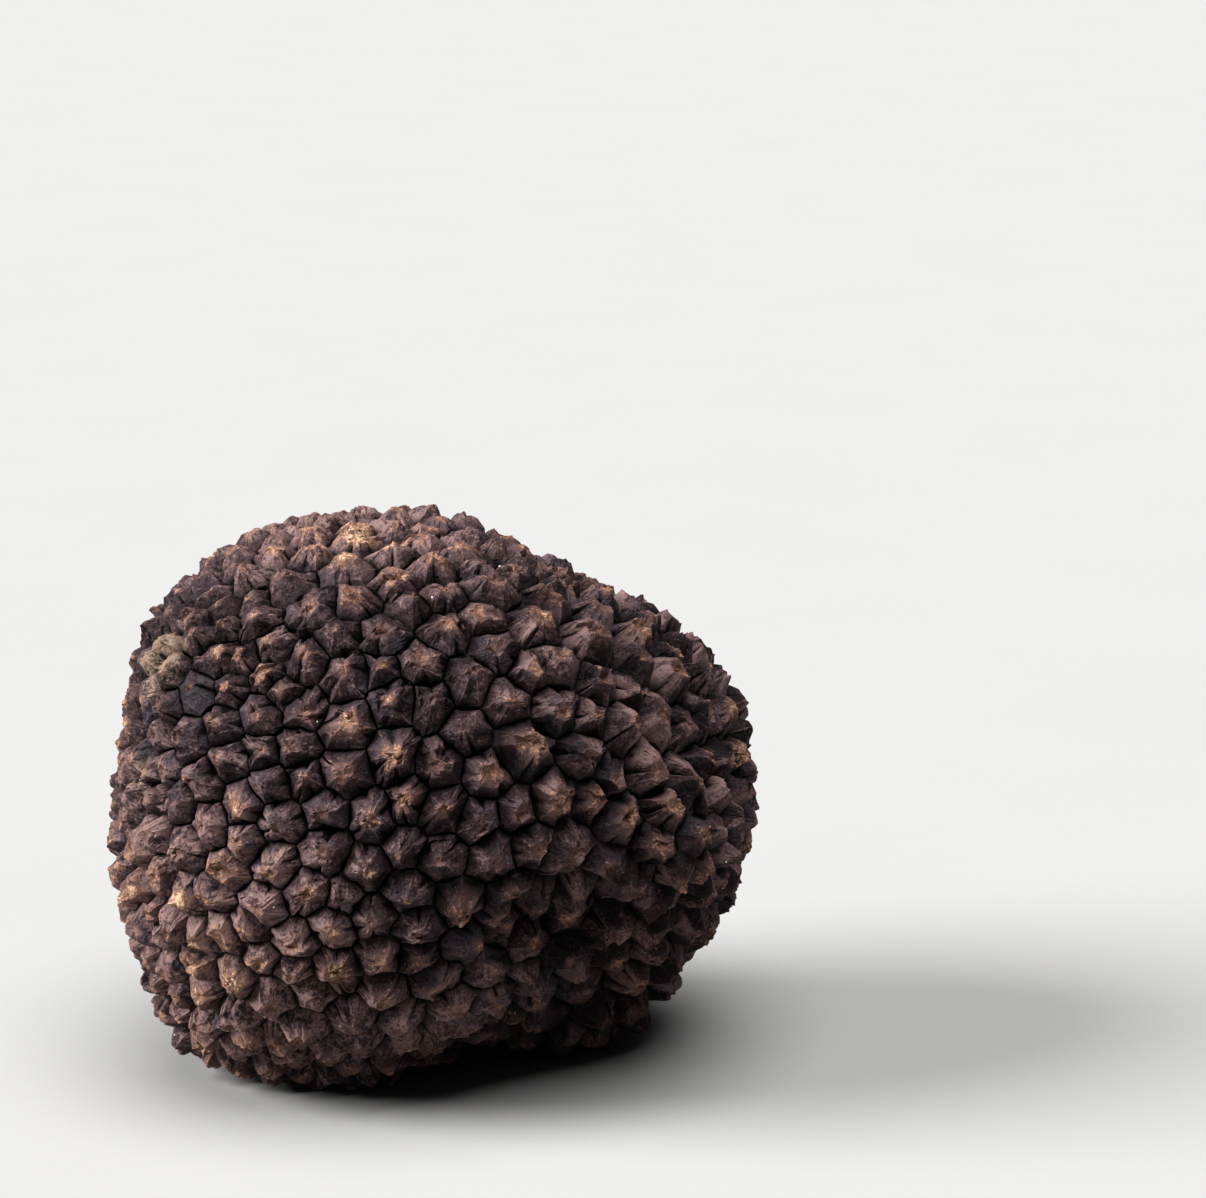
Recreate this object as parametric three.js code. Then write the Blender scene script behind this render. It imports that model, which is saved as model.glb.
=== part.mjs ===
// Black truffle: one solid fruiting body, warty all over.
// Millimetres, +Z up. It rests on z = 0, with the origin in the middle of its box's base.
// -Y is the side of the overhanging bulge, +X the side of its nose.

import * as THREE from "three";
import { ConvexHull } from "three/addons/math/ConvexHull.js";

const vec = (x, y, z) => new THREE.Vector3(x, y, z);

// ---- Body: ellipsoid lobes that melt together, and hollows pressed into them ----

const LOBES = {
  frontBulge: { centre: vec(-3.5, -3.5, 31), radii: vec(27, 21, 23.3) },
  leftShoulder: { centre: vec(-13, 3, 40), radii: vec(17, 17, 13.5) },
  lowerLeft: { centre: vec(-10.5, -2, 21.5), radii: vec(21, 19.5, 19) },
  rightSide: { centre: vec(13.4, 7, 26.2), radii: vec(18.3, 19, 21) },
  back: { centre: vec(-5.5, 9.5, 29), radii: vec(26, 19, 26) },
  nose: { centre: vec(19, -8.5, 26.5), radii: vec(9, 8, 6) },
  leftFoot: { centre: vec(-12, -0.2, 9.1), radii: vec(16.5, 11.6, 9.5) },
  rightFoot: { centre: vec(11.7, 6.5, 12.1), radii: vec(11.5, 12, 12.7) },
  backFoot: { centre: vec(0, 15, 12.8), radii: vec(17, 12, 13.4) },
};
const LOBE_BLEND = 5; // depth over which two lobes melt together

const HOLLOWS = {
  underNose: { centre: vec(18, -21, 20), radii: vec(13, 8, 4.5) },
  rearDent: { centre: vec(7, 34.5, 34), radii: vec(13, 9.5, 15) },
};
const HOLLOW_BLEND = 4;

// Slow swellings of the whole skin, as the mean of three waves that cross each other.
const LUMP_HEIGHT = 0.5;
const LUMP_LENGTH = 19; // from one swelling to the next
const LUMP_WAVES = [
  { along: vec(1, 0.6, 0), start: 0 },
  { along: vec(0, 0.8, -0.7), start: 1.7 },
  { along: vec(0.5, 0, 1), start: 4.1 },
];

const CORE = vec(-1, 2, 27); // every point of the skin is in sight of it
const REACH = 50; // farther from the core than any point of the skin
const RAY_STEPS = 34; // halvings of that reach
const SLOPE_STEP = 0.05; // how far apart the skin is felt to find which way it faces

// ---- Warts ----

const SEED = 3;
const WART_SPACING = 4.2; // between neighbouring wart centres
const SPACING_SPREAD = 0.34; // share by which one wart's spacing may differ
const SIDE_GROWTH = 0.3; // share by which warts grow from the left side to the right
const SCATTER_TRIES = 60000;
const SCATTER_SQUEEZE = 0.77; // closest approach of two centres, in their mean spacings

const CORNER_MIX = 0.62; // 1 puts cell corners at equal distances, 0 at the mean of three centres
const GROOVE_DEPTH = 1.3; // below the body
const GROOVE_HALF_WIDTH = 0.26; // from a groove's floor to a wart's rim
const RIM_DEPTH = 0.15; // below the body
const APEX_RISE = 0.5; // above the body, per mm of the wart's radius
const APEX_RISE_SPREAD = 0.3; // share by which one wart's apex may be higher or lower
const APEX_DRIFT = 0.16; // share of its radius by which an apex may sit off centre

const SKIN = { color: 0x4a3d38, roughness: 0.72, metalness: 0 };

// A repeatable source of numbers from 0 to 1.
function seededRandom(seed) {
  let state = seed >>> 0;
  return () => {
    state = (state + 0x6d2b79f5) >>> 0;
    let t = state;
    t = Math.imul(t ^ (t >>> 15), t | 1);
    t ^= t + Math.imul(t ^ (t >>> 7), t | 61);
    return ((t ^ (t >>> 14)) >>> 0) / 4294967296;
  };
}

const random = seededRandom(SEED);
const spread = (share) => 1 + share * (2 * random() - 1);

function randomDirection() {
  const z = 2 * random() - 1;
  const turn = 2 * Math.PI * random();
  const flat = Math.sqrt(1 - z * z);
  return vec(flat * Math.cos(turn), flat * Math.sin(turn), z);
}

// ---- The body's surface ----

// About how far a point lies outside an ellipsoid.
function ellipsoidDistance(point, { centre, radii }) {
  const scaled = point.clone().sub(centre).divide(radii);
  const reach = scaled.length();
  const slope = scaled.divide(radii).length();
  return slope > 0 ? (reach * (reach - 1)) / slope : -Math.min(radii.x, radii.y, radii.z);
}

// The smaller of two distances, rounded over where they are within blend of each other.
function meltedMin(a, b, blend) {
  const share = THREE.MathUtils.clamp(0.5 + (0.5 * (b - a)) / blend, 0, 1);
  return THREE.MathUtils.lerp(b, a, share) - blend * share * (1 - share);
}

function lumps(point) {
  const turns = (2 * Math.PI) / LUMP_LENGTH;
  const heights = LUMP_WAVES.map(({ along, start }) => Math.sin(turns * along.dot(point) + start));
  return heights.reduce((sum, height) => sum + height, 0) / heights.length;
}

function bodyDistance(point) {
  let distance = Infinity;
  for (const lobe of Object.values(LOBES)) {
    const here = ellipsoidDistance(point, lobe);
    distance = distance === Infinity ? here : meltedMin(distance, here, LOBE_BLEND);
  }
  for (const hollow of Object.values(HOLLOWS)) {
    distance = -meltedMin(-distance, ellipsoidDistance(point, hollow), HOLLOW_BLEND);
  }
  return distance - LUMP_HEIGHT * lumps(point);
}

function bodyNormal(point) {
  const slope = (axis) =>
    bodyDistance(point.clone().addScaledVector(axis, SLOPE_STEP)) -
    bodyDistance(point.clone().addScaledVector(axis, -SLOPE_STEP));
  return vec(slope(vec(1, 0, 0)), slope(vec(0, 1, 0)), slope(vec(0, 0, 1))).normalize();
}

// The point of the skin that is seen from the core in a direction.
function skinPoint(direction) {
  let inside = 0;
  let outside = REACH;
  for (let i = 0; i < RAY_STEPS; i++) {
    const middle = (inside + outside) / 2;
    const point = CORE.clone().addScaledVector(direction, middle);
    if (bodyDistance(point) < 0) inside = middle;
    else outside = middle;
  }
  return CORE.clone().addScaledVector(direction, inside);
}

const skinToward = (point) => skinPoint(point.clone().sub(CORE).normalize());

// ---- Where the warts sit ----

// Centres drawn at random, each kept if it has room: the wide ones first, then ever smaller ones.
function scatterCentres() {
  const kept = [];
  for (let i = 0; i < SCATTER_TRIES; i++) {
    const point = skinPoint(randomDirection());
    const shrink = 1 + SPACING_SPREAD * (1 - (2 * i) / SCATTER_TRIES);
    const side = 1 + SIDE_GROWTH * (point.x / REACH);
    const room = WART_SPACING * SCATTER_SQUEEZE * shrink * side;
    if (kept.every((other) => other.point.distanceTo(point) > (room + other.room) / 2)) {
      kept.push({ point, room });
    }
  }
  return kept.map((wart) => wart.point);
}

// The triangles between neighbouring centres, as index triples that run anticlockwise seen from outside.
function neighbourTriangles(centres) {
  const directions = centres.map((centre) => centre.clone().sub(CORE).normalize());
  const indexOf = new Map(directions.map((direction, index) => [direction, index]));
  return new ConvexHull().setFromPoints(directions).faces.map((face) => {
    const first = face.edge;
    return [first, first.next, first.next.next].map((edge) => indexOf.get(edge.head().point));
  });
}

// Where three warts meet.
function meetingPoint([a, b, c]) {
  const balanced = new THREE.Vector3();
  const ab = b.clone().sub(a);
  const ac = c.clone().sub(a);
  const across = ab.clone().cross(ac);
  balanced
    .add(across.clone().cross(ab).multiplyScalar(ac.lengthSq()))
    .add(ac.clone().cross(across).multiplyScalar(ab.lengthSq()))
    .divideScalar(2 * across.lengthSq())
    .add(a);
  const mean = a.clone().add(b).add(c).divideScalar(3);
  return skinToward(mean.lerp(balanced, CORNER_MIX));
}

// For each wart, the triangles round its centre, anticlockwise. Each of them is a corner of its cell.
function cellRings(count, triangles) {
  const following = Array.from({ length: count }, () => new Map());
  triangles.forEach((triangle, index) => {
    triangle.forEach((wart, k) => {
      following[wart].set(triangle[(k + 1) % 3], { index, next: triangle[(k + 2) % 3] });
    });
  });
  return following.map((steps) => {
    const ring = [];
    let neighbour = steps.keys().next().value;
    for (let i = 0; i < steps.size; i++) {
      const step = steps.get(neighbour);
      ring.push(step.index);
      neighbour = step.next;
    }
    return ring;
  });
}

// ---- The skin ----

function truffleGeometry() {
  const centres = scatterCentres();
  const triangles = neighbourTriangles(centres);
  const meetings = triangles.map((triangle) => meetingPoint(triangle.map((i) => centres[i])));
  const meetingNormals = meetings.map(bodyNormal);
  const rings = cellRings(centres.length, triangles);

  const points = meetings.map((meeting, i) =>
    meeting.clone().addScaledVector(meetingNormals[i], -GROOVE_DEPTH),
  );
  const faces = [];

  centres.forEach((centre, wart) => {
    const ring = rings[wart];
    const reaches = ring.map((i) => meetings[i].distanceTo(centre));
    const radius = reaches.reduce((sum, reach) => sum + reach, 0) / reaches.length;

    const rim = points.length;
    ring.forEach((corner, k) => {
      const share = 1 - GROOVE_HALF_WIDTH / reaches[k];
      points.push(
        centre.clone().lerp(meetings[corner], share).addScaledVector(meetingNormals[corner], -RIM_DEPTH),
      );
    });

    const apex = points.length;
    const drift = 2 * Math.PI * random();
    const toCorner = meetings[ring[0]].clone().sub(centre);
    const normal = bodyNormal(centre);
    points.push(
      centre
        .clone()
        .addScaledVector(toCorner.normalize().applyAxisAngle(normal, drift), APEX_DRIFT * radius * random())
        .addScaledVector(normal, APEX_RISE * radius * spread(APEX_RISE_SPREAD)),
    );

    ring.forEach((corner, k) => {
      const following = (k + 1) % ring.length;
      faces.push([apex, rim + k, rim + following]);
      faces.push([rim + k, corner, ring[following]]);
      faces.push([rim + k, ring[following], rim + following]);
    });
  });

  // The warts underneath are pressed flat where they carry the body.
  for (const point of points) point.z = Math.max(point.z, 0);

  const geometry = new THREE.BufferGeometry().setFromPoints(points);
  geometry.setIndex(faces.flat());
  geometry.computeBoundingBox();
  const middle = geometry.boundingBox.getCenter(vec(0, 0, 0));
  geometry.translate(-middle.x, -middle.y, 0);
  geometry.computeVertexNormals();
  return geometry;
}

const truffle = new THREE.Mesh(truffleGeometry(), new THREE.MeshStandardMaterial(SKIN));
truffle.name = "truffle";

const part = new THREE.Group();
part.add(truffle);

export default part;
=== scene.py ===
"""Black truffle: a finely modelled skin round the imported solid, on a pale floor in soft light.

Every wart of the solid is read from its mesh and modelled again: chipped facets with
clefts in some of them, a worn crown, and narrow grooves round it. Metres, +Z up.
"""

import math
from types import SimpleNamespace

import bpy
import numpy as np
from mathutils import Euler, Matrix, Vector


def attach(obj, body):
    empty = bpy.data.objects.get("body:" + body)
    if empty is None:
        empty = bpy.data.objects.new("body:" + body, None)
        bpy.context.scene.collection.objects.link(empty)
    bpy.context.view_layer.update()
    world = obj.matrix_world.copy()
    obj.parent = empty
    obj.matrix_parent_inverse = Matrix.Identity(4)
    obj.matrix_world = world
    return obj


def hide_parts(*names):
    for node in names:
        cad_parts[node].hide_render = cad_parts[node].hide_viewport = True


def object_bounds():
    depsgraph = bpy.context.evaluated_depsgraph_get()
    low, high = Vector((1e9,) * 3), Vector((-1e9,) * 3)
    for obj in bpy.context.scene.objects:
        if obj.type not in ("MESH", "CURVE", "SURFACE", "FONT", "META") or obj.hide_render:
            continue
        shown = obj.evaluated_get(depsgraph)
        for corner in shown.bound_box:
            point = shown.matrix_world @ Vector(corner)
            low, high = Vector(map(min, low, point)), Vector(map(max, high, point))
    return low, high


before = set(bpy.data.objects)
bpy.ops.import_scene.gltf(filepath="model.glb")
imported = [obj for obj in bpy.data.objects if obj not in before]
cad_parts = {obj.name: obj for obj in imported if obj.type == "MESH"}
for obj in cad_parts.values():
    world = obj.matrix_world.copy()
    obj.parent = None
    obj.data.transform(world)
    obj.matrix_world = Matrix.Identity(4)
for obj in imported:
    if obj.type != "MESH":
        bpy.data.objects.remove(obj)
cad_low, cad_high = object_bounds()

MM = 0.001
NODE = "truffle"

# ---- The photograph's view ----

FRAME_WIDTH, FRAME_HEIGHT = 1206, 1198
CENTRE_PIXEL = (438, 791)  # where the middle of the truffle is seen
CAMERA_ELEVATION = math.radians(16)
CAMERA_DISTANCE = 380 * MM
CLIP_START = 10 * MM
LENS = 112.3  # the lens and the sensor in millimetres, as Blender takes them
SENSOR = 36.0

# ---- The skin's mesh ----

SEED = 11
WELD = 1e-6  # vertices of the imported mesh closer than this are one
GRID_WELD = 1e-6 * MM  # and so are grid points, by their places on the flat facets
FACE_LIMIT = 199_000

# How a facet is cut up, as shares: down from the wart's top to its rim, on down the
# wall to the groove's floor, and across from one ridge to the next.
DOWN_FACET = np.array([0, 0.09, 0.18, 0.29, 0.41, 0.54, 0.67, 0.79, 0.9, 1])
DOWN_WALL = np.array([0.3, 0.65, 1])
ACROSS = np.array([0, 0.14, 0.3, 0.455, 0.5, 0.545, 0.7, 0.86, 1])
FOLD_COLUMNS = ACROSS[[2, -3]]
FACET_ROWS = len(DOWN_FACET)

# What differs from wart to wart and facet to facet, each from its least to its most.
# Depths are shares of the wart's radius, and places shares of the way down or across a facet.
RIDGE = (0.3, 1.4)  # how much of the dome a ridge has
DOME = (-0.02, 0.06)  # swell of the ridges half way down
VALLEY = (-0.03, 0.06)  # sag of a facet's middle at the rim
VALLEY_PLACE = (0.32, 0.68)
VALLEY_SHARPNESS = (0.8, 1.4)
FOLD = (-0.015, 0.015)  # sag of the two creases of a facet
FOLD_TOP = (0.0, 0.45)
CLEFT = (0.08, 0.26)  # a notch down the middle of a facet
CLEFT_TOP = (0.2, 0.7)
CLEFT_SHARE = 0.4  # of the facets have one
CLEFT_EDGE = 0.8  # how near the facet's middle it starts to open, where 1 is the middle
CLEFT_PULL = 0.5  # how far a cleft draws the rim in, in its depths
CROWN_EDGE = (0.22, 0.52)  # how far down the crown of a wart reaches
CROWN_CUT = (0.6, 1.35)  # 1 makes the crown level, and more a hollow
LEAN = (0.02, 0.18)  # how far the top leans aside
FOOT = (0.4, 1.9)  # how far the feet of a wart's facets fall, in FOOT_DROPs
STREAK_PLACE = (0, 100)  # where in its noise a wart's streaks are

VALLEY_END = 0.95
FADE = 0.4  # how much farther down a fold or a cleft has its whole depth
CROWN_FADE = (0.7, 1.1)  # where a crown's crumbs start to fade and end, in its reaches
PULL_IN = 0.04  # how far the rim is drawn in where a facet sags most
PULL_CURVES = (1.5, 2)  # how sharply that grows towards the facet's middle, and its rim

RIM_SPREAD = 0.62  # how far a rim reaches out over the groove beside it
FOOT_DROP = 0.22 * MM  # how far the steep foot of a facet falls
FOOT_START = 0.35  # how far down that foot starts
RIM_ROUNDING = 0.12 * MM
ROUNDING_START = 0.85
GROOVE_DEEPENING = 0.1 * MM
CRUMB_HEIGHT, CRUMB_SIZE = 0.12 * MM, 0.4 * MM
CRUMBS_ON_FACETS = 0.3  # of that height; a crown has 1 more
FLAKE_HEIGHT, FLAKE_SIZE = 0.13 * MM, 1.1 * MM  # thin flakes that have broken off the facets
FLAKE_EDGE = (0.16, 0.24)
CHIP_SLOPE, CHIP_SIZE = 0.3, 1.9 * MM  # flat chips, each tilted its own way
BEND_REACH, BEND_SIZE = 0.3 * MM, 2.4 * MM  # slow sideways wandering of ridges and grooves
RAG_REACH, RAG_SIZE = 0.11 * MM, 0.8 * MM  # quick wandering
FLOOR_FADE = 1.0 * MM  # up to this height the relief fades out towards the floor
SHARP_EDGE = math.radians(20)  # an edge that bends more isn't shaded smooth

# The right of the truffle, where its warts are steeper, with hollow crowns and more uneven tones.
STEEP_SIDE = (4 * MM, 16 * MM)
HOLLOWNESS = 0.7  # what the crowns there are cut more
STEEPNESS = 0.5 * MM  # what the feet of the facets fall more
GAPE = 0.3  # what the rims reach out less
UNEVENNESS = 1.9  # what the tones of the facets differ more

# The lower left of the truffle, where its warts are rounder and their crowns paler.
ROUND_SIDE = np.array([-26, -6, 14]) * MM
ROUND_REACH = (10 * MM, 34 * MM)
ROUNDNESS = 0.2  # what the ridges there swell more
SMOOTHNESS = 0.6  # share by which their clefts and chips are shallower
GROOVE_FILL = 1.05 * MM  # what their grooves are shallower
TANNER = 0.45  # what their crowns are more tan

# Where the skin is paler, worn, violet, soiled or slate blue: each patch's middle, and how
# far from there it starts to fade and ends, in millimetres. The paler patches are partly dry
# skin and partly painted light; the violet ones are partly a tint and partly a painted sheen.
PATCHES = {
    "dry": [
        ((-22, -18, 19), (9, 27)),
        ((-10, 0, 58), (5, 24)),
        ((0, -18, 10), (2, 12)),
        ((20, -14, 36), (0, 9)),
        ((10, -17, 44), (0, 9)),
    ],
    "worn": [
        ((-9, -5, 54), (4, 9)),
        ((-20, -15, 45), (0, 8)),
        ((-20, -22, 21), (0, 11)),
        ((26, -4, 33), (1, 9)),
    ],
    "violet": [((-24, -18, 24), (5, 17)), ((8, -16, 34), (4, 14))],
    "soil": [((-27, -9.5, 45), (2, 6)), ((-29, -11, 34), (0.5, 3.5))],
    "slate": [((-23, -14.5, 42.5), (1.5, 4.5)), ((-28.5, -12, 36.5), (0.5, 4))],
}


def smoothstep(low, high, value):
    share = np.clip((value - low) / (high - low), 0, 1)
    return share * share * (3 - 2 * share)


def blend(a, b, share):
    return a + (b - a) * share


class Noise:
    """Smooth seeded noise from -1 to 1, made of random values on a lattice."""

    CELLS = 48

    def __init__(self, seed, channels=1):
        shape = (self.CELLS,) * 3 + (channels,)
        self.values = np.random.default_rng(seed).uniform(-1, 1, shape)

    def at(self, points, size):
        scaled = points / size
        cell = np.floor(scaled)
        part = scaled - cell
        part = (part * part * (3 - 2 * part))[..., None]
        cell = cell.astype(int)
        total = 0
        for corner in np.ndindex(2, 2, 2):
            share = 1
            for axis, step in enumerate(corner):
                share = share * (part[..., axis, :] if step else 1 - part[..., axis, :])
            i, j, k = ((cell[..., axis] + corner[axis]) % self.CELLS for axis in range(3))
            total = total + share * self.values[i, j, k]
        return total


def chips(points, size):
    """The height of flat chips: round each of many seeds, the skin follows a plane of its own."""
    jitter = Noise(SEED + 5, 3)
    slopes = Noise(SEED + 6, 3)
    scaled = points / size
    home = np.floor(scaled).astype(int)
    nearest = np.full(points.shape[:-1], np.inf)
    height = np.zeros(points.shape[:-1])
    for step in np.ndindex(3, 3, 3):
        cell = home + np.array(step) - 1
        i, j, k = np.moveaxis(cell % jitter.CELLS, -1, 0)
        offset = scaled - (cell + 0.5 + 0.5 * jitter.values[i, j, k])
        distance = (offset**2).sum(axis=-1)
        height = np.where(distance < nearest, (offset * slopes.values[i, j, k]).sum(axis=-1), height)
        nearest = np.minimum(nearest, distance)
    return height * size


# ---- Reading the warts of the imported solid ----


def welded(mesh):
    """The mesh's points and triangles, with the points in the order of their places."""
    points = np.empty(len(mesh.vertices) * 3, np.float32)
    mesh.vertices.foreach_get("co", points)
    points = points.reshape(-1, 3).astype(float)
    corners = np.empty(len(mesh.loops), np.int32)
    mesh.loops.foreach_get("vertex_index", corners)
    _, first, index = np.unique(
        np.round(points / WELD), axis=0, return_index=True, return_inverse=True
    )
    return points[first], index.ravel()[corners].reshape(-1, 3)


def read_warts(triangles):
    """Each wart as (its top, its rim's points, the grooves' crossings beside them), by their edges.

    Nine edges meet where grooves cross, and three of them are grooves.
    """
    beside = {}
    for triangle in triangles.tolist():
        for vertex in triangle:
            beside.setdefault(vertex, set()).update(triangle)
    for vertex, others in beside.items():
        others.discard(vertex)
    nine = {vertex for vertex, others in beside.items() if len(others) == 9}
    crossings = {vertex for vertex in nine if len(beside[vertex] & nine) >= 3}
    rims = {other for vertex in crossings for other in beside[vertex]} - crossings
    tops = sorted(set(beside) - crossings - rims)

    following = {top: {} for top in tops}
    for triangle in triangles.tolist():
        for k in range(3):
            if triangle[k] in following:
                following[triangle[k]][triangle[(k + 1) % 3]] = triangle[(k + 2) % 3]

    warts = []
    for top in tops:
        rim = [min(following[top])]
        while len(rim) < len(following[top]):
            rim.append(following[top][rim[-1]])
        around = [
            (beside[rim[k]] & beside[rim[k - 1]] & crossings).pop() for k in range(len(rim))
        ]
        warts.append((top, rim, around))
    return warts


# ---- Modelling the warts ----


def wart_facts(top, ring, rng):
    """What all facets of a wart share, from its top and the points of its rim."""
    normal = np.cross(ring - top, np.roll(ring, -1, axis=0) - top).sum(axis=0)
    normal /= np.linalg.norm(normal)
    aside = np.cross(normal, rng.normal(size=3))
    rounder = 1 - smoothstep(*ROUND_REACH, np.linalg.norm(top - ROUND_SIDE))
    steeper = smoothstep(*STEEP_SIDE, top[0])
    return {
        "top": top,
        "normal": normal,
        "rounder": rounder,
        "steeper": steeper,
        "height": (top - ring.mean(axis=0)) @ normal,
        "radius": np.linalg.norm(ring - top, axis=1).mean(),
        "dome": rng.uniform(*DOME) + ROUNDNESS * rounder,
        "crown_edge": rng.uniform(*CROWN_EDGE),
        "crown_cut": rng.uniform(*CROWN_CUT) + HOLLOWNESS * steeper,
        "lean": rng.uniform(*LEAN) * aside / np.linalg.norm(aside),
        "foot": rng.uniform(*FOOT),
        "tan": rng.uniform(0, 1) ** 2 + TANNER * rounder,
        "streak_place": rng.uniform(*STREAK_PLACE),
    }


def facet_facts(wart, rng):
    """What one facet of a wart has of its own."""
    kept = 1 - SMOOTHNESS * wart["rounder"]
    return {
        "valley_place": rng.uniform(*VALLEY_PLACE),
        "valley": rng.uniform(*VALLEY),
        "sharpness": rng.uniform(*VALLEY_SHARPNESS),
        "cleft": rng.uniform(*CLEFT) * (rng.random() < CLEFT_SHARE) * kept,
        "cleft_top": rng.uniform(*CLEFT_TOP),
        "tone": rng.uniform(-1, 1) * (1 + UNEVENNESS * wart["steeper"]),
        "fold_a": rng.uniform(*FOLD),
        "fold_b": rng.uniform(*FOLD),
        "fold_top": rng.uniform(*FOLD_TOP),
    }


def facet_table(points, warts, rng):
    """What shapes each facet of each wart: its corners, its wart's facts and its own.

    Each value is an array that spreads over grids of facets x rows x columns.
    """
    facets = []
    for top, rim, around in warts:
        count = len(rim)
        wart = wart_facts(points[top], points[rim], rng)
        ridges = rng.uniform(*RIDGE, count)
        for k in range(count):
            after = (k + 1) % count
            corners = {
                "rim_a": points[rim[k]],
                "rim_b": points[rim[after]],
                "groove_a": points[around[k]],
                "groove_b": points[around[after]],
                "ridge_a": ridges[k],
                "ridge_b": ridges[after],
                "turn_a": 2 * math.pi * k / count,
                "turn_b": 2 * math.pi * (k + 1) / count,
            }
            facets.append({**wart, **corners, **facet_facts(wart, rng)})
    table = {key: np.array([facet[key] for facet in facets]) for key in facets[0]}
    return {key: value.reshape(len(facets), 1, 1, *value.shape[1:]) for key, value in table.items()}


def facet_grid(facets):
    """Where each grid point is on its facet: rows run from the top down, columns across."""
    down = np.concatenate([DOWN_FACET, np.ones(len(DOWN_WALL))])[:, None]
    wall = np.concatenate([np.zeros(FACET_ROWS), DOWN_WALL])[:, None]
    half = facets["valley_place"]
    leaning = np.where(ACROSS < 0.5, 2 * half * ACROSS, 1 - 2 * (1 - half) * (1 - ACROSS))
    along = blend(leaning, np.linspace(0, 1, len(ACROSS)), wall)
    rim = blend(facets["rim_a"], facets["rim_b"], along[..., None])
    groove = blend(facets["groove_a"], facets["groove_b"], along[..., None])
    outward = groove - rim
    outward -= facets["normal"] * (outward * facets["normal"]).sum(axis=-1, keepdims=True)
    rim = rim + (RIM_SPREAD - GAPE * facets["steeper"][..., None]) * outward
    flat = blend(facets["top"], rim, down[..., None])
    return {
        "down": down,
        "wall": wall,
        "along": along,
        "middle": 1 - np.abs(2 * ACROSS - 1),  # 0 on a ridge, 1 midway between two
        "rim": rim,
        "flat": blend(flat, groove, wall[..., None]),
    }


def in_crown(facets, grid):
    """How far each grid point is within the crown: from 0 below it to 1."""
    start, end = (share * facets["crown_edge"] for share in CROWN_FADE)
    return 1 - smoothstep(start, end, grid["down"])


def cleft_opening(facets, grid):
    """How open a facet's cleft is: from 0 where there is none to 1."""
    opening = smoothstep(facets["cleft_top"], facets["cleft_top"] + FADE, grid["down"])
    return opening * (facets["cleft"] > 0) * smoothstep(CLEFT_EDGE, 1, grid["middle"])


def facet_form(facets, grid):
    """How far each grid point stands out from its flat facet, by the wart's own form."""
    down = grid["down"]
    ridge = blend(facets["ridge_a"], facets["ridge_b"], grid["along"])
    swell = facets["dome"] * ridge * 4 * down * (1 - down)
    valley = facets["valley"] * grid["middle"] ** facets["sharpness"] * smoothstep(0, VALLEY_END, down)
    cleft = facets["cleft"] * cleft_opening(facets, grid)
    left, right = ACROSS == FOLD_COLUMNS[0], ACROSS == FOLD_COLUMNS[1]
    fold = facets["fold_a"] * left + facets["fold_b"] * right
    fold = fold * smoothstep(facets["fold_top"], facets["fold_top"] + FADE, down)
    cut = facets["crown_cut"] * facets["height"] * np.maximum(facets["crown_edge"] - down, 0)
    foot = facets["foot"] * FOOT_DROP + STEEPNESS * facets["steeper"]
    foot = foot * smoothstep(FOOT_START, 1, down)
    rounding = RIM_ROUNDING * smoothstep(ROUNDING_START, 1, down)
    return (swell - valley - cleft - fold) * facets["radius"] - cut - foot - rounding


def roughness(facets, grid):
    """How far each grid point stands out by crumbs, flakes and chips of the skin."""
    flat = grid["flat"]
    crumbs = CRUMB_HEIGHT * Noise(SEED + 1).at(flat, CRUMB_SIZE)[..., 0]
    flakes = FLAKE_HEIGHT * smoothstep(*FLAKE_EDGE, Noise(SEED + 2).at(flat, FLAKE_SIZE)[..., 0])
    chipped = CHIP_SLOPE * chips(flat, CHIP_SIZE) * (1 - SMOOTHNESS * facets["rounder"])
    return crumbs * (CRUMBS_ON_FACETS + in_crown(facets, grid)) - flakes + chipped


def relief(facets, grid):
    """How far each grid point stands out in all. Form and roughness fade out down the wall."""
    wall = grid["wall"]
    fill = GROOVE_FILL * facets["rounder"] - GROOVE_DEEPENING
    return (facet_form(facets, grid) + roughness(facets, grid)) * (1 - wall) + fill * wall**2


def sideways(facets, grid):
    """How far each grid point moves along its facet: with the top, in towards it, and to and fro."""
    inward = facets["top"] - grid["rim"]
    across, down = PULL_CURVES
    pull = PULL_IN * grid["middle"] ** across * grid["down"] ** down
    pull = pull + CLEFT_PULL * facets["cleft"] * cleft_opening(facets, grid)
    pull = pull * (1 - grid["wall"])
    bend = BEND_REACH * Noise(SEED + 3, 3).at(grid["flat"], BEND_SIZE)
    rag = RAG_REACH * Noise(SEED + 4, 3).at(grid["flat"], RAG_SIZE)
    lean = facets["lean"] * (facets["radius"] * (1 - grid["down"]))[..., None]
    return inward * pull[..., None] + lean + bend + rag


def surface_facts(facets, grid):
    """What the material needs to know at each grid point."""
    turn = blend(facets["turn_a"], facets["turn_b"], grid["along"])
    facts = {
        "down": grid["down"],
        "level": grid["down"] / facets["crown_edge"],
        "middle": grid["middle"],
        "groove": grid["wall"],
        "cleft": cleft_opening(facets, grid),
        "tan": facets["tan"],
        "tone": facets["tone"],
        "rounder": facets["rounder"],
        "fan_x": np.cos(turn),
        "fan_y": np.sin(turn),
        "fan_z": facets["streak_place"],
    }
    return {name: np.broadcast_to(values, turn.shape) for name, values in facts.items()}


def grid_faces(facets, rows, columns):
    """Triangles of every grid. The first row is one point, so its squares are single triangles."""
    start = np.arange(facets)[:, None, None] * rows * columns
    row = np.arange(rows - 1)[None, :, None] * columns
    column = np.arange(columns - 1)[None, None, :]
    a = start + row + column
    b, c, d = a + 1, a + columns, a + columns + 1
    lower = np.stack([a, c, d], axis=-1).reshape(-1, 3)
    upper = np.stack([a, d, b], axis=-1)[:, 1:].reshape(-1, 3)
    return np.concatenate([lower, upper])


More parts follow.
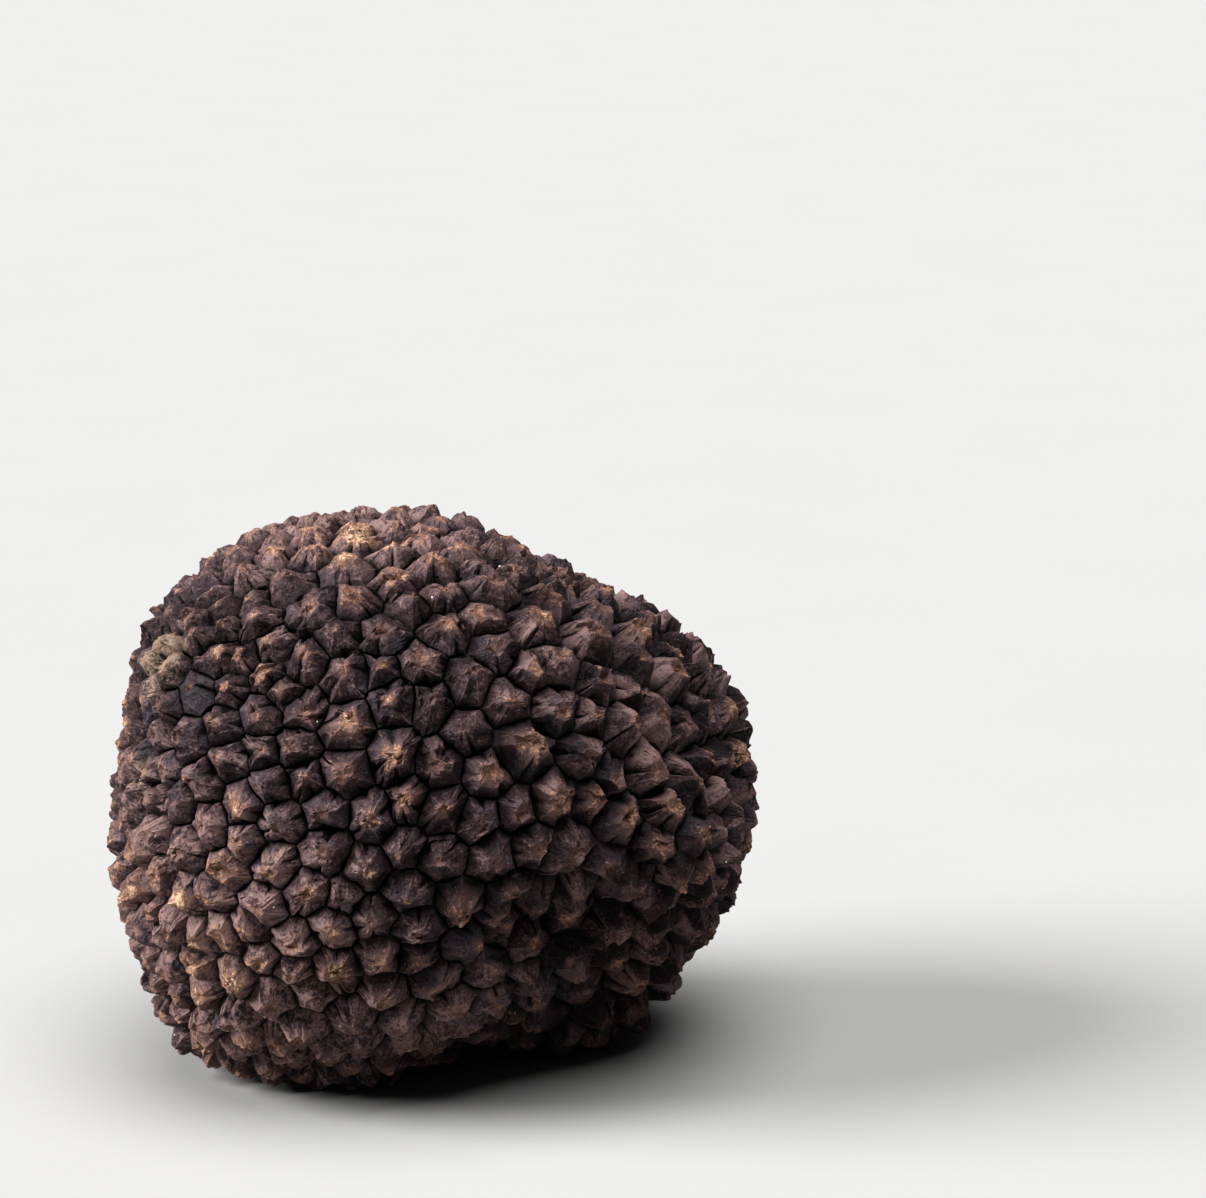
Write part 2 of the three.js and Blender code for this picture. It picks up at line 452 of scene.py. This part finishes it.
def joined(flat, shaped, facts, faces):
    """One closed mesh from the grids: points with the same place on the flat facets are one."""
    keys = np.round(flat.reshape(-1, 3) / GRID_WELD).astype(np.int64)
    _, index, count = np.unique(keys, axis=0, return_inverse=True, return_counts=True)
    index = index.ravel()

    def mean(values):
        return np.bincount(index, values.ravel(), len(count)) / count

    points = np.stack([mean(shaped[..., axis]) for axis in range(3)], axis=1)
    facts = {name: mean(values) for name, values in facts.items()}
    return points, facts, index[faces]


def new_mesh(name, points, faces, facts):
    mesh = bpy.data.meshes.new(name)
    mesh.vertices.add(len(points))
    mesh.vertices.foreach_set("co", points.astype(np.float32).ravel())
    mesh.loops.add(faces.size)
    mesh.loops.foreach_set("vertex_index", faces.astype(np.int32).ravel())
    mesh.polygons.add(len(faces))
    mesh.polygons.foreach_set("loop_start", np.arange(len(faces), dtype=np.int32) * 3)
    mesh.update(calc_edges=True)
    mesh.validate()
    for fact, values in facts.items():
        attribute = mesh.attributes.new(fact, "FLOAT", "POINT")
        attribute.data.foreach_set("value", values.astype(np.float32))
    return mesh


def thinned(piece, limit):
    """Cuts the piece's triangles down to the limit, where they matter least."""
    thin = piece.modifiers.new("thin", "DECIMATE")
    thin.ratio = limit / len(piece.data.polygons)
    bpy.context.view_layer.update()
    shown = piece.evaluated_get(bpy.context.evaluated_depsgraph_get())
    mesh = bpy.data.meshes.new_from_object(shown)
    piece.modifiers.clear()
    full = piece.data
    piece.data = mesh
    bpy.data.meshes.remove(full)


def keep_inside(mesh, lowest, highest):
    points = np.empty(len(mesh.vertices) * 3, np.float32)
    mesh.vertices.foreach_get("co", points)
    points = np.clip(points.reshape(-1, 3), np.array(lowest), np.array(highest))
    mesh.vertices.foreach_set("co", points.astype(np.float32).ravel())
    mesh.update()


def patch_share(points, patches):
    """1 in the middle of a patch and 0 outside them all."""
    shares = [
        1 - smoothstep(*reach, np.linalg.norm(points / MM - middle, axis=1))
        for middle, reach in patches
    ]
    return np.max(shares, axis=0)


def make_skin():
    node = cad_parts[NODE]
    points, triangles = welded(node.data)
    facets = facet_table(points, read_warts(triangles), np.random.default_rng(SEED))
    grid = facet_grid(facets)
    flat = grid["flat"]
    moved = facets["normal"] * relief(facets, grid)[..., None] + sideways(facets, grid)
    shaped = flat + moved * smoothstep(0, FLOOR_FADE, flat[..., 2:])
    faces = grid_faces(*flat.shape[:3])
    points, facts, faces = joined(flat, shaped, surface_facts(facets, grid), faces)
    facts.update({name: patch_share(points, patches) for name, patches in PATCHES.items()})
    mesh = new_mesh("truffle_skin", points, faces, facts)
    piece = bpy.data.objects.new("truffle_skin", mesh)
    bpy.context.scene.collection.objects.link(piece)
    thinned(piece, FACE_LIMIT)
    keep_inside(piece.data, cad_low, cad_high)
    piece.data.shade_smooth()
    piece.data.set_sharp_from_angle(angle=SHARP_EDGE)
    return piece


# ---- Materials ----

MIX_A, MIX_B, MIX_RESULT = 6, 7, 2  # the sockets of a Mix node that are colours


class Nodes:
    """Short calls for building a node material."""

    def __init__(self, name):
        self.material = bpy.data.materials.new(name)
        self.material.use_nodes = True
        self.tree = self.material.node_tree
        self.shader = self.tree.nodes["Principled BSDF"]

    def put(self, socket, value):
        if isinstance(value, bpy.types.NodeSocket):
            self.tree.links.new(value, socket)
        else:
            socket.default_value = value

    def add(self, kind, settings=None, **inputs):
        node = self.tree.nodes.new("ShaderNode" + kind)
        for key, value in (settings or {}).items():
            setattr(node, key, value)
        for key, value in inputs.items():
            self.put(node.inputs[key.replace("_", " ")], value)
        return node

    def fact(self, name):
        return self.add("Attribute", {"attribute_name": name}).outputs["Fac"]

    def place(self):
        return self.add("TexCoord").outputs["Object"]

    def maths(self, operation, a, b=0.0):
        node = self.add("Math", {"operation": operation})
        self.put(node.inputs[0], a)
        self.put(node.inputs[1], b)
        return node.outputs[0]

    def ramp(self, value, low, high, to_low=0.0, to_high=1.0):
        node = self.add("MapRange", {"interpolation_type": "SMOOTHSTEP"}, Value=value)
        node.inputs["From Min"].default_value = low
        node.inputs["From Max"].default_value = high
        node.inputs["To Min"].default_value = to_low
        node.inputs["To Max"].default_value = to_high
        return node.outputs["Result"]

    def noise(self, vector, size, detail=4.0, roughness=0.55):
        node = self.add("TexNoise", Vector=vector, Scale=1 / size, Detail=detail)
        node.inputs["Roughness"].default_value = roughness
        return node.outputs["Fac"]

    def cells(self, vector, size, feature="F1"):
        return self.add("TexVoronoi", {"feature": feature}, Vector=vector, Scale=1 / size)

    def mix(self, share, a, b):
        node = self.add("Mix", {"data_type": "RGBA"})
        self.put(node.inputs["Factor"], share)
        self.put(node.inputs[MIX_A], a)
        self.put(node.inputs[MIX_B], b)
        return node.outputs[MIX_RESULT]

    def weighted(self, *terms):
        """The sum of values, each times its weight."""
        total = 0.0
        for value, weight in terms:
            node = self.add("Math", {"operation": "MULTIPLY_ADD"})
            for socket, term in zip(node.inputs, (value, weight, total)):
                self.put(socket, term)
            total = node.outputs[0]
        return total

    def bump(self, height, distance, normal=None):
        node = self.add("Bump", Height=height, Distance=distance, Strength=1.0)
        if normal is not None:
            self.put(node.inputs["Normal"], normal)
        return node.outputs["Normal"]


# Colours as the shader takes them.
DARK_SKIN = (0.012, 0.0075, 0.0085, 1)
MID_SKIN = (0.0465, 0.0272, 0.0302, 1)
PALE_SKIN = (0.195, 0.127, 0.121, 1)
BROWN_SKIN = (0.150, 0.085, 0.072, 1)
# Partly the skin's violet tint, partly a painted sheen.
VIOLET_TINT_AND_SHEEN = (0.062, 0.052, 0.074, 1)
# Pale skin, partly dry and partly painted light.
DRY_AND_LIT_SKIN = (0.365, 0.210, 0.163, 1)
# Near black, for painted shade in the grooves, clefts and cracks.
CREVICE_SHADE = (0.004, 0.0024, 0.0022, 1)
TAN = (0.27, 0.148, 0.098, 1)
PALE_TAN = (0.58, 0.41, 0.28, 1)
SOIL = (0.285, 0.205, 0.150, 1)
SLATE = (0.022, 0.028, 0.034, 1)
SAND = (0.80, 0.76, 0.68, 1)

FACTS = ("down", "middle", "groove", "cleft", "level", "tan", "tone", "rounder", *PATCHES)

# Sizes of the skin's patterns, and the depths of their bumps.
BLOTCH_SIZE = 7 * MM
MOTTLE_SIZE, MOTTLE_DEPTH = 1.4 * MM, 0.25 * MM
GRIT_SIZE, GRIT_DEPTH = 0.35 * MM, 0.16 * MM
CREASE_SIZE, CREASE_DEPTH = 0.9 * MM, 0.18 * MM
CREASE_BEND, CREASE_BEND_SIZE = 0.4 * MM, 0.6 * MM
EDGE_WIDTH = 0.07  # of the edges between creases, in creases
STREAK_DEPTH = 0.04 * MM
CRACK_DEPTH = 0.15 * MM
SAND_SPACING = 2.2 * MM
SAND_GRAIN = (0.035, 0.05)  # how far from its middle a grain starts to fade and ends, in spacings
SAND_SHARE = (0.86, 0.87)  # the random values between which a place starts to have a grain

# Streaks and cracks lie on a circle of radius 1 round a wart's top.
STREAK_SIZE, STREAK_STRETCH = 0.7, (5.0, 5.0, 1.0)
CRACK_SIZE, CRACK_WIDTH = 0.28, 0.03

SKIN_ROUGHNESS = (0.48, 0.75)
SKIN_SPECULAR = 0.16


def skin_patterns(n):
    """What the skin's colour and bumps are made from: the mesh's facts, and patterns on them."""
    at = SimpleNamespace(**{name: n.fact(name) for name in FACTS})
    place = n.place()
    at.blotches = n.noise(place, BLOTCH_SIZE, 3.0)
    at.mottle = n.noise(place, MOTTLE_SIZE, 5.0, 0.65)
    at.grit = n.noise(place, GRIT_SIZE, 4.0, 0.75)

    # Streaks and fine cracks that run from a wart's top down its sides.
    fan = n.add("CombineXYZ", X=n.fact("fan_x"), Y=n.fact("fan_y"), Z=n.fact("fan_z")).outputs[0]
    stretched = n.add("Mapping", Vector=fan)
    stretched.inputs["Scale"].default_value = STREAK_STRETCH
    at.streaks = n.noise(stretched.outputs[0], STREAK_SIZE, 5.0, 0.65)
    swing = n.maths("ABSOLUTE", n.maths("SUBTRACT", n.noise(fan, CRACK_SIZE, 2.0, 0.5), 0.5))
    near_crack = n.ramp(swing, 0.0, CRACK_WIDTH, 1.0, 0.0)
    cracks = n.maths("MULTIPLY", near_crack, n.ramp(at.mottle, 0.54, 0.58))
    at.cracks = n.maths("MULTIPLY", cracks, n.ramp(at.down, 0.03, 0.12))

    # Creases that cross the facets, with edges between them.
    wander = n.add("TexNoise", Vector=place, Scale=1 / CREASE_BEND_SIZE, Detail=2.0)
    bend = n.add("VectorMath", {"operation": "MULTIPLY_ADD"})
    for socket, value in zip(bend.inputs, (wander.outputs["Color"], (CREASE_BEND,) * 3, place)):
        n.put(socket, value)
    at.bent = bend.outputs[0]
    at.creases = n.cells(at.bent, CREASE_SIZE).outputs["Distance"]
    off_edge = n.cells(at.bent, CREASE_SIZE, "DISTANCE_TO_EDGE").outputs["Distance"]
    at.edges = n.ramp(off_edge, 0.0, EDGE_WIDTH, 1.0, 0.0)
    return at


def facet_colour(n, at):
    """Dark skin, mottled, with violet blotches that are partly its tint and partly a painted sheen,
    brown near the tops, and paler where it is dry and where painted light falls on the top, the lower
    left, the front and the right.
    """
    blotched = n.maths("MULTIPLY", at.rounder, n.maths("SUBTRACT", at.mottle, 0.5))
    # The pale patches lighten the skin here: partly dry skin, partly painted light.
    lightness = n.weighted(
        (at.mottle, 0.42),
        (at.streaks, 0.12),
        (at.grit, 0.42),
        (at.tone, 0.065),
        (at.dry, 0.13),
        (blotched, 0.65),
    )
    colour = n.mix(n.ramp(lightness, 0.38, 0.52), DARK_SKIN, MID_SKIN)
    colour = n.mix(n.ramp(lightness, 0.5, 0.66), colour, PALE_SKIN)

    # Violet blotches: partly the skin's own tint, partly a painted sheen.
    violet = n.ramp(n.weighted((at.blotches, 1.0), (at.violet, 0.08)), 0.52, 0.66)
    violet = n.maths("MULTIPLY", violet, n.ramp(at.grit, 0.35, 0.6))
    colour = n.mix(n.maths("MULTIPLY", violet, 0.6), colour, VIOLET_TINT_AND_SHEEN)

    from_top = n.weighted((at.level, 0.4), (at.grit, 0.9), (at.mottle, 0.9), (at.tan, -0.35))
    colour = n.mix(n.ramp(from_top, 0.8, 1.35, 0.85, 0.0), colour, BROWN_SKIN)

    # Pale dry skin, partly painted light where the pale patches lie.
    dried_and_lit = n.weighted((at.dry, 0.4), (at.mottle, 1.0), (at.blotches, 0.6), (at.level, -0.06))
    dried_and_lit = n.maths("MULTIPLY", n.ramp(dried_and_lit, 0.98, 1.36, 0.0, 0.85), n.ramp(at.grit, 0.3, 0.7))
    return n.mix(dried_and_lit, colour, DRY_AND_LIT_SKIN)


def with_worn_and_highlit_ridges(n, at, colour):
    """Pale lines on the ridges, the crown's edge and the creases, partly wear and partly a painted
    highlight, and tan on a crumbly top.
    """
    # Pale lines on the edges: partly wear, partly a painted highlight.
    ridge = n.ramp(n.weighted((at.middle, 1.0), (at.grit, 0.3)), 0.15, 0.3, 1.0, 0.0)
    off_crown_edge = n.maths("ABSOLUTE", n.maths("SUBTRACT", at.level, 1.0))
    ridge = n.maths("MAXIMUM", ridge, n.ramp(off_crown_edge, 0.0, 0.25, 1.0, 0.0))
    ridge = n.maths("MAXIMUM", ridge, n.maths("MULTIPLY", at.edges, 0.6))
    ridge = n.maths("MULTIPLY", ridge, n.ramp(at.mottle, 0.45, 0.62))
    colour = n.mix(n.maths("MULTIPLY", ridge, 0.65), colour, PALE_SKIN)

    crumbly = n.weighted(
        (at.level, -0.3),
        (at.grit, 1.4),
        (at.mottle, 1.6),
        (at.tan, 0.33),
        (at.middle, -0.15),
        (at.worn, 0.3),
    )
    colour = n.mix(n.ramp(crumbly, 1.42, 1.62), colour, TAN)
    return n.mix(n.ramp(crumbly, 1.72, 1.9), colour, PALE_TAN)


def with_dirt_and_painted_shade(n, at, colour):
    """Dried soil with slate-blue bits, painted shade on the feet of the facets and in the grooves,
    clefts and cracks, and grains of sand.
    """
    soiled = n.weighted((at.soil, 0.6), (at.mottle, 1.4), (at.grit, 1.4))
    colour = n.mix(n.ramp(soiled, 1.55, 2.25, 0.0, 0.9), colour, SOIL)
    blue = n.weighted((at.slate, 0.6), (at.mottle, 1.0), (at.grit, 1.6))
    colour = n.mix(n.ramp(blue, 1.65, 2.1, 0.0, 0.85), colour, SLATE)

    # Painted shade in the fine cracks.
    colour = n.mix(n.maths("MULTIPLY", at.cracks, 0.85), colour, CREVICE_SHADE)
    # Painted shade down the foot of each facet towards its groove, less on the round lower left.
    foot = n.weighted((at.down, 1.0), (at.mottle, 0.6), (at.grit, 0.4), (at.rounder, -0.4))
    colour = n.mix(n.ramp(foot, 1.2, 1.6, 0.0, 0.8), colour, DARK_SKIN)
    # Painted shade in the grooves and clefts, less on the round lower left.
    crevice_shade = n.maths("MAXIMUM", n.ramp(at.groove, 0.0, 0.5), n.ramp(at.cleft, 0.2, 0.7))
    crevice_shade = n.maths("MULTIPLY", crevice_shade, n.ramp(at.rounder, 0.0, 1.0, 0.95, 0.6))
    colour = n.mix(crevice_shade, colour, CREVICE_SHADE)

    grains = n.cells(at.bent, SAND_SPACING)
    near_grain = n.ramp(grains.outputs["Distance"], *SAND_GRAIN, 1.0, 0.0)
    chance = n.add("SeparateXYZ", Vector=grains.outputs["Color"]).outputs["X"]
    few = n.ramp(chance, *SAND_SHARE)
    return n.mix(n.maths("MULTIPLY", near_grain, few), colour, SAND)


def skin_material():
    n = Nodes("truffle_skin")
    at = skin_patterns(n)
    colour = with_dirt_and_painted_shade(n, at, with_worn_and_highlit_ridges(n, at, facet_colour(n, at)))
    n.put(n.shader.inputs["Base Color"], colour)
    n.put(n.shader.inputs["Roughness"], n.ramp(at.mottle, 0.3, 0.7, *SKIN_ROUGHNESS))
    n.shader.inputs["Specular IOR Level"].default_value = SKIN_SPECULAR

    normal = n.bump(at.cracks, -CRACK_DEPTH)
    normal = n.bump(at.creases, CREASE_DEPTH, normal)
    normal = n.bump(at.streaks, STREAK_DEPTH, normal)
    normal = n.bump(at.mottle, MOTTLE_DEPTH, normal)
    normal = n.bump(at.grit, GRIT_DEPTH, normal)
    n.put(n.shader.inputs["Normal"], normal)
    return n.material


FLOOR_DARK = (0.302, 0.3005, 0.296, 1)
FLOOR_PALE = (0.310, 0.3085, 0.3045, 1)
FLOOR_CLOUD_SIZE = 40 * MM
FLOOR_ROUGHNESS = 0.6
FLOOR_SPECULAR = 0.0


def floor_material():
    n = Nodes("floor")
    faint = n.noise(n.place(), FLOOR_CLOUD_SIZE, 3.0)
    n.put(n.shader.inputs["Base Color"], n.mix(faint, FLOOR_DARK, FLOOR_PALE))
    n.shader.inputs["Roughness"].default_value = FLOOR_ROUGHNESS
    n.shader.inputs["Specular IOR Level"].default_value = FLOOR_SPECULAR
    return n.material


# ---- The studio ----

FLOOR_SIZE = 60.0  # metres, so wide that its edge isn't seen
KEY = {"toward": Vector((-0.84, -0.12, 0.52)), "spread": math.radians(30), "strength": 6.4}
TOP = {"toward": Vector((0.08, -0.22, 0.97)), "spread": math.radians(48), "strength": 4.2}
SKY = 0.05


def make_floor():
    bpy.ops.mesh.primitive_plane_add(size=FLOOR_SIZE)
    floor = bpy.context.object
    floor.name = "floor"
    floor.data.materials.append(floor_material())
    return floor


def make_lamp(name, toward, spread, strength):
    """Soft parallel light from a direction, so that the floor is as bright all over."""
    lamp = bpy.data.lights.new(name, "SUN")
    lamp.angle = spread
    lamp.energy = strength
    holder = bpy.data.objects.new(name, lamp)
    holder.rotation_euler = (-toward).to_track_quat("-Z", "Y").to_euler()
    bpy.context.scene.collection.objects.link(holder)


def make_sky():
    world = bpy.data.worlds.new("sky")
    world.use_nodes = True
    background = world.node_tree.nodes["Background"]
    background.inputs["Color"].default_value = (1, 1, 1, 1)
    background.inputs["Strength"].default_value = SKY
    bpy.context.scene.world = world


def make_camera():
    """A level camera that sees the truffle's middle from the elevation, at its pixel."""
    focal = LENS / SENSOR * FRAME_WIDTH
    right = (CENTRE_PIXEL[0] - FRAME_WIDTH / 2) / focal
    up = (FRAME_HEIGHT / 2 - CENTRE_PIXEL[1]) / focal
    reach = math.sqrt(1 + right * right + up * up)
    sink = -math.sin(CAMERA_ELEVATION) * reach / math.sqrt(1 + up * up)
    pitch = math.asin(sink) - math.atan(up)
    yaw = math.atan2(right, math.cos(pitch) - up * math.sin(pitch))

    lens = bpy.data.cameras.new("camera")
    lens.lens = LENS
    lens.sensor_width = SENSOR
    lens.clip_start = CLIP_START
    camera = bpy.data.objects.new("camera", lens)
    back = Vector((0, -math.cos(CAMERA_ELEVATION), math.sin(CAMERA_ELEVATION)))
    middle = Vector((0, 0, cad_high.z / 2))
    camera.location = middle + back * CAMERA_DISTANCE
    camera.rotation_euler = Euler((math.pi / 2 + pitch, 0, yaw))
    bpy.context.scene.collection.objects.link(camera)
    bpy.context.scene.camera = camera


# ---- The scene ----

skin = make_skin()
skin.data.materials.clear()
skin.data.materials.append(skin_material())
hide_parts(NODE)
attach(skin, "root")

floor = make_floor()
make_lamp("key", **KEY)
make_lamp("top", **TOP)
make_sky()
make_camera()
bpy.context.scene.view_settings.view_transform = "Standard"
bpy.context.scene.view_settings.look = "Medium High Contrast"
